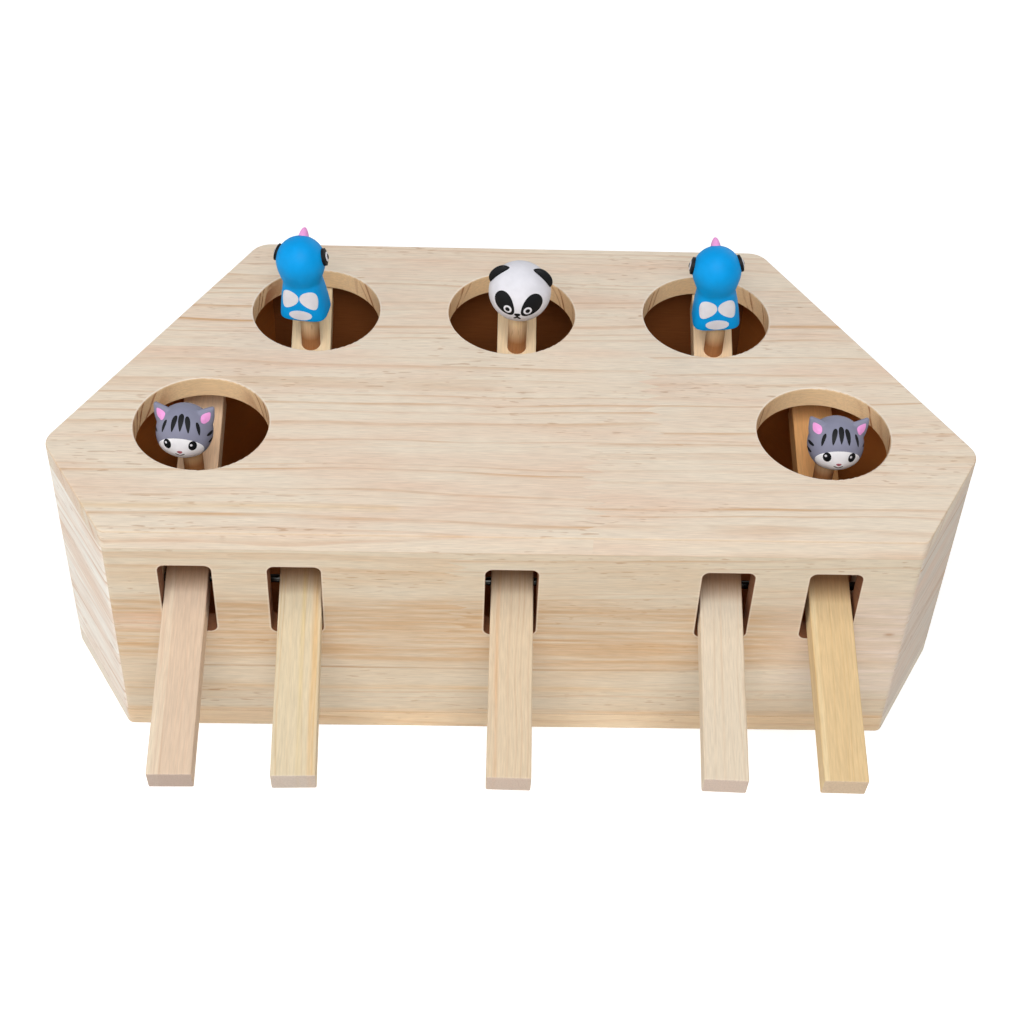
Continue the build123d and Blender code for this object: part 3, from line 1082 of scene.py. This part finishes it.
@dataclass(frozen=True)
class Girth:
    """The outline of a figure at one height, in millimetres."""

    height: float
    half_width: float
    half_depth: float
    squareness: float  # 2 for an oval, more for a rounded box

    def blend(self, other: "Girth", share: float, before: "Girth", after: "Girth") -> "Girth":
        """A girth on the smooth curve between this and the next one.

        Args:
            other: The next girth.
            share: How far along, 0 to 1.
            before: The girth before this one.
            after: The girth after the next one.

        Returns:
            The girth there.
        """
        values = []
        for name in ("height", "half_width", "half_depth", "squareness"):
            a, b, c, d = (getattr(girth, name) for girth in (before, self, other, after))
            bend = (2 * a - 5 * b + 4 * c - d) * share**2 + (3 * b - a - 3 * c + d) * share**3
            values.append(b + ((c - a) * share + bend) / 2)
        return Girth(*values)

    def ring(self, points: int) -> list[Vector]:
        """Points round the outline.

        Args:
            points: How many.

        Returns:
            The points.
        """
        ring = []
        for step in range(points):
            x, y = math.cos(2 * math.pi * step / points), math.sin(2 * math.pi * step / points)
            wide = math.copysign(abs(x) ** (2 / self.squareness), x) * self.half_width
            deep = math.copysign(abs(y) ** (2 / self.squareness), y) * self.half_depth
            ring.append(Vector((wide, deep, self.height)))
        return ring


@dataclass
class Hatchling(Figure):
    """A round-headed blue hatchling with its back to the player."""

    head_rise: float = 23.0
    head_radius: float = 9.0
    crest_height: float = 3.1
    crest_sunk: float = 1.2  # into the head
    crest_lean: float = 45.0  # degrees from upright towards the face
    beak_length: float = 3.2
    beak_drop: float = 1.5  # below the head's middle
    beak_sunk: float = 1.0  # into the head
    eye_turn: float = 98.0  # degrees from the side that the player sees
    eye_rise: float = 11.0
    wing_spread: float = 3.9
    wing_rise: float = 9.5
    tail_spot_rise: float = 3.0
    belly_rise: float = 7.0

    material_slot: ClassVar[str] = "blue_rubber"
    sink: ClassVar[float] = 16.7
    POINTS: ClassVar[int] = 72
    STEPS: ClassVar[int] = 5  # rings from one girth to the next
    GIRTHS: ClassVar[tuple[Girth, ...]] = (
        Girth(0.0, 7.9, 6.3, 4.0),
        Girth(0.3, 8.4, 6.8, 4.0),
        Girth(1.0, 8.7, 7.0, 3.9),
        Girth(5.0, 8.4, 7.1, 3.3),
        Girth(9.0, 7.95, 7.0, 2.9),
        Girth(12.5, 7.35, 6.8, 2.7),
        Girth(15.2, 7.1, 6.9, 2.4),
        Girth(18.0, 7.95, 7.85, 2.2),
        Girth(21.0, 8.8, 8.75, 2.05),
        Girth(24.0, 8.95, 8.95, 2.0),
        Girth(27.0, 8.05, 8.05, 2.0),
        Girth(29.4, 6.3, 6.3, 2.0),
        Girth(31.0, 4.1, 4.1, 2.0),
        Girth(31.8, 1.9, 1.9, 2.0),
        Girth(32.0, 0.2, 0.2, 2.0),
    )
    EYE_LAYERS: ClassVar[tuple[tuple[float, float, Paint], ...]] = (  # diameter, lift and colour
        (6.4, 0.95, Paint.SOOT), (3.6, 0.12, Paint.CHALK_WHITE), (1.9, 0.06, Paint.SOOT),
    )
    EYE_CROWN: ClassVar[float] = 0.1
    BEHIND: ClassVar[float] = GIRTHS[3].half_depth  # from the middle out to the wings, tail spot and belly

    @property
    def head(self) -> Vector:
        """The head's middle."""
        return Vector((0, 0, self.head_rise))

    def shape(self) -> Draft:
        """Body and head in one skin, then crest, beak, patches and eyes.

        Returns:
            The draft.
        """
        draft = Draft()
        draft.skin(self._body_rings(), Paint.AZURE)
        lean = math.radians(self.crest_lean)
        way = UP * math.cos(lean) + BACK * math.sin(lean)
        reaches = (self.head_radius - self.crest_sunk, self.head_radius + self.crest_height)
        root, tip = (self.head + way * reach for reach in reaches)
        draft.skin(horn_rings(root, tip, self._crest_section, RIGHT, levels=16), Paint.PETAL_PINK)
        root = self.head + BACK * (self.head_radius - self.beak_sunk) - UP * self.beak_drop
        tip = root + BACK * self.beak_length
        draft.skin(horn_rings(root, tip, self._beak_section, RIGHT, levels=12), Paint.BEAK_YELLOW)
        others = self._patches()
        for size, lift, paint in self.EYE_LAYERS:
            draft.mark([*others, *self._eyes(size, lift, paint)])
            others = []
        return draft

    def _body_rings(self) -> Rings:
        """Foot, body, neck and head in one smooth line.

        Returns:
            Rings from the foot to the crown.
        """
        girths = (self.GIRTHS[0], *self.GIRTHS, self.GIRTHS[-1])
        rings = []
        for before, low, high, after in zip(girths, girths[1:], girths[2:], girths[3:]):
            for step in range(self.STEPS):
                rings.append(low.blend(high, step / self.STEPS, before, after).ring(self.POINTS))
        return [*rings, girths[-1].ring(self.POINTS)]

    @staticmethod
    def _crest_section(share: float) -> tuple[float, float, float]:
        """Half width of the crest, and its half length before and behind: a small upright fin."""
        full = fullness(share, bluntness=3.0, least=0.02)
        return (2.0 - 0.75 * share) * full, (3.1 - 1.6 * share) * full, (3.1 - 1.6 * share) * full

    @staticmethod
    def _beak_section(share: float) -> tuple[float, float, float]:
        """Half width of the beak, and its half height below and above: short and blunt."""
        full = fullness(share, bluntness=2.2, least=0.03)
        return 2.6 * full, 1.7 * full, 1.7 * full

    def _eyes(self, size: float, lift: float, paint: Paint) -> list[Mark]:
        """One layer of the eyes on the sides of the head.

        Args:
            size: Its diameter.
            lift: How far it stands off what is under it.
            paint: Its colour.

        Returns:
            A mark on each side.
        """
        eyes = []
        for side in SIDES:
            way = facing(side * self.eye_turn, self.eye_rise)
            middle = self.head + way * self.head_radius
            eyes.append(Mark(middle, way, size, size, paint, lift=lift, crown=self.EYE_CROWN))
        return eyes

    def _patches(self) -> list[Mark]:
        """Two folded wings and a tail spot on the back, and a pale belly.

        Returns:
            The marks.
        """
        back, belly = (Vector((0, side * self.BEHIND, 0)) for side in SIDES)
        wings = [
            Mark(
                back + Vector((side * self.wing_spread, 0, self.wing_rise)), -BACK, 5.8, 8.2,
                Paint.CHALK_WHITE, tilt=side * -30, taper=-0.4,
            )
            for side in SIDES
        ]
        return [
            *wings,
            Mark(back + UP * self.tail_spot_rise, -BACK, 8.6, 4.4, Paint.CHALK_WHITE),
            Mark(belly + UP * self.belly_rise, BACK, 9.6, 9.0, Paint.CHALK_WHITE, taper=0.1),
        ]


def dress_node(node: str, material: bpy.types.Material) -> None:
    """Gives a carried-over node its finish.

    Args:
        node: The node's name.
        material: The finish.
    """
    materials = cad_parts[node].data.materials
    materials.clear()
    materials.append(material)
    LOG.info("%s: %s", node, material.name)


@dataclass
class Casing:
    """The six-sided pine box: lid, bottom, six walls and the blocks that carry the rod, in millimetres."""

    hole_radius: float = 23.5
    outer_hole_line: float = 109.0  # out from the middle
    inner_hole_line: float = 72.7
    outer_hole_setback: float = 53.5  # from the front face
    inner_hole_setback: float = 117.0
    slot_shift: float = -0.7  # the row of slots lies this far right of the middle
    slot_pitch: float = 36.7
    slot_pitches: tuple[int, ...] = (-3, -2, 0, 2, 3)  # where in the row there is a slot
    slot_half_width: float = 9.0
    slot_half_height: float = 16.25
    slot_middle: float = 67.75  # above the table
    slot_corner: float = 2.5
    wall: float = 8.0
    inside_shade_start: float = -0.05  # from the walls' inside faces, so that these take the painted shade all over
    strip_width: float = 48.0
    block_count: int = 4
    lid_marks: tuple[Streak, ...] = (
        Streak(-34.3, -150.0, -37.5, 2.6, "#dfc096", 0.6, fade=3.0),
        Streak(-29.3, -131.0, -112.0, 0.9, "#bd9a76", 0.5),
    )
    front_marks: tuple[Streak, ...] = (
        # partly the board's tan tone, partly painted shadow of the levers
        Streak(52.0, -170.0, 170.0, 20.0, "#c4955f", 0.5, soft=0.4),
        Streak(48.0, 84.0, 175.0, 34.0, "#e4d2c2", 0.8, fade=34.0, soft=0.5),
        Streak(33.2, -140.0, 78.0, 0.9, "#b98f66", 0.65, fade=30.0),
        Streak(22.4, -110.0, 60.0, 2.2, "#dcb888", 0.5, fade=30.0),
        Streak(8.4, -145.0, 145.0, 3.2, "#e0b888", 0.6, fade=10.0),
        Streak(53.4, 129.5, 134.5, 1.6, "#a8703f", 0.8, fade=2.0),
        # painted shadow beside lever 1
        Streak(56.0, -150.0, -98.0, 7.0, "#dcb39c", 0.5, fade=20.0),
    )

    def dress(self) -> None:
        """Gives every board and block its own pine."""
        lid_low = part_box("top_board")[0] / MM
        front, bottom_top = lid_low.y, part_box("bottom_board")[1].z / MM
        glued = {"strip_width": self.strip_width, "seams": (bottom_top, lid_low.z)}
        boards = {
            "top_board": Pine(
                "sanded_pine_lid", RIGHT, BACK, -UP, 3.0, painted_edge_shade=0.4,
                streaks=self.lid_marks, cuts=self._bores(front), **glued,
            ),
            "bottom_board": Pine(
                "sanded_pine_bottom", RIGHT, BACK, UP, 11.0, early="#e6cfb0", blush="#e2c49d", painted_edge_shade=0.3,
                end_colour="#eadfd0", end_share=0.95, inside_shade_depth=bottom_top + self.inside_shade_start, **glued,
            ),
            # painted shade: the front board's earlywood and heartwood are darker than the lid's
            "front_board": Pine(
                "sanded_pine_front", RIGHT, UP, BACK, 5.0, early="#dacbb4", blush="#d6bea0", rosy="#c99c6c",
                # the slots' dark sides are painted shade, and the pale band round them a painted highlight
                line_strength=0.5, cut_side_light_and_shade="#84502f", cut_end_grain_and_shade="#663720", rim_highlight="#e2d3be",
                streaks=self.front_marks, cuts=self._slots(),
                inside_shade_depth=front + self.wall + self.inside_shade_start, **glued,
            ),
        }
        boards.update(self._slanted_walls(glued))
        for node, pine in boards.items():
            dress_node(node, pine.build())
        block = Pine("sawn_pine_block", UP, RIGHT, BACK, 23.0, early="#d9bb94", line_spacing=2.4).build()
        for number in range(1, self.block_count + 1):
            dress_node(f"axle_block_{number}", block)

    def _bores(self, front: float) -> tuple[Cut, ...]:
        """The five holes in the lid.

        Args:
            front: Where the front face lies.

        Returns:
            Their outlines.
        """
        places = [(0.0, self.inner_hole_setback)]
        for side in SIDES:
            places.append((side * self.outer_hole_line, self.outer_hole_setback))
            places.append((side * self.inner_hole_line, self.inner_hole_setback))
        radius = self.hole_radius
        return tuple(Cut(line, front + setback, radius, radius, radius) for line, setback in places)

    def _slots(self) -> tuple[Cut, ...]:
        """The five slots in the front.

        Returns:
            Their outlines.
        """
        half_sizes = (self.slot_half_width, self.slot_half_height, self.slot_corner)
        lines = [self.slot_shift + pitches * self.slot_pitch for pitches in self.slot_pitches]
        return tuple(Cut(line, self.slot_middle, *half_sizes) for line in lines)

    def _slanted_walls(self, glued: dict[str, Any]) -> dict[str, Pine]:
        """The pines of the back and the four slanted walls, whose outer faces are found from the meshes.

        Args:
            glued: What all boards have in common.

        Returns:
            Node name to finish.
        """
        walls = {}
        # each wall's second colour is the painted shade on its inside, set wall by wall
        tones = {
            "back_board": ("#e7d8c4", "#8f5225"),
            "left_side_board": ("#e7d8c4", "#cc7a36"),
            "right_side_board": ("#e7d8c4", "#cc7a36"),
            # painted light and shade: the left corner board is paler and the right one darker than the other
            # walls, for the light from the left
            "left_corner_board": ("#f7f0e5", "#9a5828"),
            "right_corner_board": ("#dfd2c3", "#9a5828"),
        }
        for seed, (node, (early, inside_shade)) in enumerate(tones.items(), start=30):
            inward, outer = self._outer_face(node)
            walls[node] = Pine(
                "sanded_pine_" + node, inward.cross(UP), UP, inward, float(seed), early=early, inside_shade=inside_shade,
                inside_shade_depth=outer + self.wall + self.inside_shade_start, **glued,
            )
        return walls

    @staticmethod
    def _outer_face(node: str) -> tuple[Vector, float]:
        """Finds the widest upright face of a wall that looks away from the box's middle.

        Args:
            node: The wall's node.

        Returns:
            The unit vector into the wood, and how far along it the outer face lies.
        """
        upright = 0.1  # most that an upright face looks up or down
        outward = [
            polygon
            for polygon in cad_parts[node].data.polygons
            if abs(polygon.normal.z) < upright and polygon.normal.dot(polygon.center) > 0
        ]
        widest = max(outward, key=lambda polygon: polygon.area)
        inward = -widest.normal.normalized()
        return inward, inward.dot(widest.center) / MM


@dataclass(frozen=True)
class Stick:
    """The wood of one lever; its bands lie to the right of the lever's middle line."""

    early: str
    late: str
    end: str
    inner: str  # painted light: the paler, warmer tone under the lid, for the light falling in through the holes
    bands: tuple[Streak, ...] = ()


@dataclass
class Rockers:
    """The five planed levers with their dowels, and the rod that they turn on, in millimetres."""

    sticks: tuple[Stick, ...] = (
        Stick(
            "#dac1a8", "#c39672", "#b49f94", "#ffdab4",
            # painted highlight: a pale band down the left of the lever's top
            (Streak(-5.6, *ALL_ALONG, 2.8, "#e6d4bb", 0.85, soft=0.4),),
        ),
        Stick(
            "#dccbac", "#c89e60", "#c8b7ae", "#fee6be",
            (
                Streak(5.8, *ALL_ALONG, 2.2, "#e0b272", 0.65),
                Streak(1.6, *ALL_ALONG, 1.2, "#dfc68c", 0.6),
            ),
        ),
        Stick(
            "#dbc6a9", "#c1956b", "#ccb6a9", "#fae1b9",
            (Streak(-4.6, *ALL_ALONG, 1.2, "#d8ae84", 0.6),),
        ),
        Stick("#dfcfb8", "#c9a57d", "#cfb7a9", "#ffddb2"),
        Stick(
            "#ddc092", "#c39350", "#cfb79f", "#ebab6a",
            (Streak(-6.6, *ALL_ALONG, 1.8, "#ecd6aa", 0.7),),
        ),
    )
    # Painted light: the length under the lid is paler and warmer, for the light falling in through the
    # holes; each stick's own tone takes the place of this white.
    inner: Streak = Streak(0.0, -16.0, 400.0, 16.0, "#ffffff", 0.85, fade=10.0, soft=0.1, patchy=False)
    # Painted shade: each lever is darkened from its slot to short of the outer holes, where the front board
    # and lid shade it.
    painted_slot_shade: Streak = Streak(0.0, -28.0, 2.0, 16.0, "#a06c40", 0.8, fade=10.0, soft=0.1, patchy=False)
    painted_shade_reaches: tuple[float, ...] = (24.5, 18.0, 18.0, 18.0, 24.5)  # painted shade, up each dowel from its lower end
    painted_shade_fade: float = 9.0
    painted_shade_colour: str = "#9c5c28"
    painted_shade_strength: float = 0.9
    rear_depth: float = 2.0  # a lever's end face lies within this of its rearmost point

    def dress(self) -> None:
        """Gives each lever and dowel wood of its own, and the rod its steel."""
        for number, stick in enumerate(self.sticks, start=1):
            dress_node(f"lever_{number}", self._lever_wood(number, stick).build())
        for number, reach in enumerate(self.painted_shade_reaches, start=1):
            dress_node(f"dowel_{number}", self._dowel_wood(number, reach).build())
        dress_node("pivot_rod", DrawnSteel().build())

    def _lever_wood(self, number: int, stick: Stick) -> Pine:
        """A lever's pine with its own bands, painted light under the lid and painted shade behind its slot.

        Args:
            number: The lever's number.
            stick: Its wood.

        Returns:
            The finish.
        """
        node = f"lever_{number}"
        along = self._run_of(node)
        across = along.cross(UP).normalized()
        low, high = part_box(node)
        middle = across.dot(low + high) / 2 / MM
        streaks = (*stick.bands, replace(self.inner, colour=stick.inner), self.painted_slot_shade)
        return Pine(
            f"planed_stick_{number}", along, across, across.cross(along), 50.0 + 3.7 * number,
            early=stick.early, late=stick.late, rosy=stick.late, blush=stick.early,
            end_colour=stick.end, end_share=0.72, fleck_strength=0.12,
            line_spacing=2.6, line_strength=0.5, swing=5.0, swing_length=120.0,
            streaks=tuple(replace(streak, across=streak.across + middle) for streak in streaks),
        )

    def _dowel_wood(self, number: int, reach: float) -> Pine:
        """A dowel's pine, darkened by painted shade from its lower end up.

        Args:
            number: The dowel's number.
            reach: How far up the painted shade goes.

        Returns:
            The finish.
        """
        low, high = (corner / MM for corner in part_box(f"dowel_{number}"))
        # painted shade: the dowel darkens towards its foot, down in the hole
        glued = Streak(
            (low.x + high.x) / 2, low.z - reach, low.z + reach, high.x - low.x,
            self.painted_shade_colour, self.painted_shade_strength, fade=self.painted_shade_fade, soft=0.2, patchy=False,
        )
        return Pine(
            f"turned_dowel_{number}", UP, RIGHT, BACK, 71.0 + number,
            # the very pale earlywood is painted light, against the figure's shade on the dowel's top
            early="#ffdfb2", late="#d6a672", blush="#f8d19a", streaks=(glued,),
            line_spacing=1.4, line_strength=0.5, swing=2.0, swing_length=60.0,
        )

    def _run_of(self, node: str) -> Vector:
        """Finds the way a lever runs, from its tip to its rear end.

        Args:
            node: The lever's node.

        Returns:
            The normal of its rear end face.
        """
        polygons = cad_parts[node].data.polygons
        rearmost = max(polygon.center.y for polygon in polygons)
        ends = [polygon for polygon in polygons if polygon.center.y > rearmost - self.rear_depth * MM]
        return max(ends, key=lambda polygon: polygon.area * max(0.0, polygon.normal.y)).normal.normalized()


@dataclass(frozen=True)
class SoftBox:
    """A square soft lamp that looks at the toy; metres and watts."""

    name: str
    place: tuple[float, float, float]
    side: float
    watts: float

    def build(self) -> None:
        """Sets the lamp up."""
        light = bpy.data.lights.new(self.name, "AREA")
        light.size = self.side
        light.energy = self.watts
        lamp = bpy.data.objects.new(self.name, light)
        lamp.location = self.place
        lamp.rotation_mode = "QUATERNION"
        lamp.rotation_quaternion = (-Vector(self.place)).to_track_quat("-Z", "Y")
        bpy.context.scene.collection.objects.link(lamp)


@dataclass
class Studio:
    """A pale floor, soft light from above the player, the left and behind, and the photograph's camera."""

    lamps: tuple[SoftBox, ...] = (
        SoftBox("key", (-0.084, -0.802, 1.265), 1.0, 18.0),
        SoftBox("fill", (-1.36, -0.56, 0.64), 1.2, 5.0),
        SoftBox("back", (0.9, 1.3, 0.6), 1.2, 4.5),
    )
    sky: float = 0.22
    floor_half: float = 3.0  # metres
    floor_level: float = -0.05  # millimetres, just under the toy
    floor_colour: str = "#f4f4f4"
    floor_glow: float = 0.42  # near the toy, where the shadow has to show
    glow_start: float = 0.35  # metres from the toy where the glow begins to rise
    glow_end: float = 1.3  # metres from the toy where the floor is white
    photo_side: int = 1024  # pixels, both ways
    sensor: float = 36.0  # millimetres
    focal_pixels: float = 1924.6
    camera_place: tuple[float, float, float] = (-21.64, -490.13, 555.28)  # millimetres
    pitch: float = 44.97  # degrees down
    yaw: float = -2.57
    roll: float = 2.67
    nearest: float = 0.05  # metres from the camera
    farthest: float = 20.0

    def build(self) -> None:
        """Sets up floor, world, lamps, camera and colour view."""
        self._floor()
        self._world()
        for lamp in self.lamps:
            lamp.build()
        self._camera()
        bpy.context.scene.view_settings.view_transform = "Standard"

    def _floor(self) -> None:
        """A flat pale sheet; seen directly it glows a little, up to white, and still shows the shadow."""
        half = self.floor_half
        outline = ((-half, -half), (half, -half), (half, half), (-half, half))
        corners = [(x, y, self.floor_level * MM) for x, y in outline]
        mesh = bpy.data.meshes.new("floor")
        mesh.from_pydata(corners, [], [(0, 1, 2, 3)])
        material = new_material("studio_paper")
        g = Graph(material.node_tree)
        matte = g.add("BsdfDiffuse", {"Color": linear(self.floor_colour)})
        seen = g.add("LightPath", out="Is Camera Ray")
        away = g.add("VectorMath", {0: g.add("TexCoord", out="Object")}, out="Value", operation="LENGTH")
        rising = {0: away, 1: self.glow_start, 2: self.glow_end, 3: self.floor_glow, 4: 1.0}
        glow = g.add("Emission", {"Color": WHITE, "Strength": g.add("MapRange", rising)})
        lit = g.add("AddShader", {0: matte, 1: glow})
        g.add("OutputMaterial", {0: g.add("MixShader", {0: seen, 1: matte, 2: lit})})
        mesh.materials.append(material)
        floor = bpy.data.objects.new("floor", mesh)
        bpy.context.scene.collection.objects.link(floor)

    def _world(self) -> None:
        """An even sky, white where it is seen directly, in gloss or through glass."""
        world = bpy.data.worlds.new("studio")
        world.use_nodes = True
        bpy.context.scene.world = world
        g = Graph(world.node_tree)
        seen: Socket = 0.0
        for ray in ("Is Camera Ray", "Is Glossy Ray", "Is Transmission Ray"):
            seen = g.add("Math", {0: g.add("LightPath", out=ray), 1: seen}, operation="MAXIMUM")
        strength = g.add("MapRange", {0: seen, 3: self.sky, 4: 1.0})
        g.add("OutputWorld", {0: g.add("Background", {"Color": WHITE, "Strength": strength})})

    def _camera(self) -> None:
        """The photograph's viewpoint, worked out from the box's corners and holes."""
        yaw, pitch, roll = (math.radians(angle) for angle in (self.yaw, self.pitch, self.roll))
        level_right = Vector((math.cos(yaw), math.sin(yaw), 0))
        level_ahead = Vector((-math.sin(yaw), math.cos(yaw), 0))
        ahead = level_ahead * math.cos(pitch) - UP * math.sin(pitch)
        upright = level_ahead * math.sin(pitch) + UP * math.cos(pitch)
        right = level_right * math.cos(roll) + upright * math.sin(roll)
        top = upright * math.cos(roll) - level_right * math.sin(roll)
        data = bpy.data.cameras.new("camera")
        data.sensor_width = self.sensor
        data.lens = self.focal_pixels * self.sensor / self.photo_side
        data.clip_start, data.clip_end = self.nearest, self.farthest
        camera = bpy.data.objects.new("camera", data)
        turned = Matrix((right, top, -ahead)).transposed().to_4x4()
        camera.matrix_world = Matrix.Translation(Vector(self.camera_place) * MM) @ turned
        bpy.context.scene.collection.objects.link(camera)
        bpy.context.scene.camera = camera


def main() -> None:
    """Builds the classes in order and reports each piece."""
    logging.basicConfig(level=logging.INFO, format="%(name)s: %(message)s")
    Studio().build()
    Casing().dress()
    Rockers().dress()
    paints = {paint: Rubber(paint).build() for paint in Paint}
    figures = [
        Kitten("left_kitten", 1, offset=-2.0, turn=-4.5, lean=1.5),
        Hatchling("left_hatchling", 2, offset=-1.2, turn=-11.0, lean=-2.3),
        Panda("panda", 3, turn=-5.0, lean=1.5),
        Hatchling("right_hatchling", 4, offset=-0.7, lean=-5.0, drop=0.9),
        Kitten("right_kitten", 5, offset=1.8, turn=1.0, lean=1.5, drop=1.0),
    ]
    for figure in figures:
        piece = figure.build(paints)
        LOG.info("%s: %d faces", piece.name, len(piece.data.polygons))


if __name__ == "__main__":
    main()
